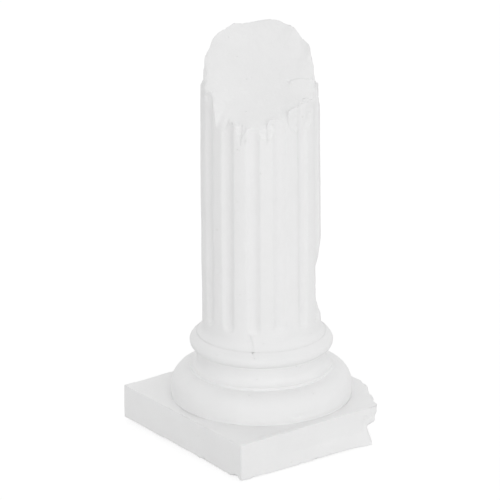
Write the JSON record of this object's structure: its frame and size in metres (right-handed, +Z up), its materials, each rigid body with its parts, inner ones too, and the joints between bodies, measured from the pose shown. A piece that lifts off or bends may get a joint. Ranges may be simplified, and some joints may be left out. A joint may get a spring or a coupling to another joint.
{
  "type": "decorative column",
  "caption": "Broken fluted classical column on a moulded base and square plinth, cast in white plaster and drawn together by a hidden tie rod.",
  "frame": {"origin": "on the floor, under the middle of the plinth, on the column's axis", "axes": "+Z up along the column's axis; X and Y along the plinth's sides; the sound front corner points to -X and -Y and the broken corner to +X and -Y"},
  "size_m": [0.14, 0.1421, 0.2871],
  "materials": {
    "plaster": "matte",
    "steel": "satin",
    "beech": "matte",
    "felt": "matte"
  },
  "bodies": {
    "root": {"plinth": "plaster", "base_moulding": "plaster", "shaft": "plaster", "tie_rod": "steel", "anchor_plate": "steel", "anchor_nut": "steel", "rod_washer": "steel", "rod_nut": "steel", "plinth_pegs": "beech", "shaft_pegs": "beech", "felt_pads": "felt"}
  },
  "joints": []
}
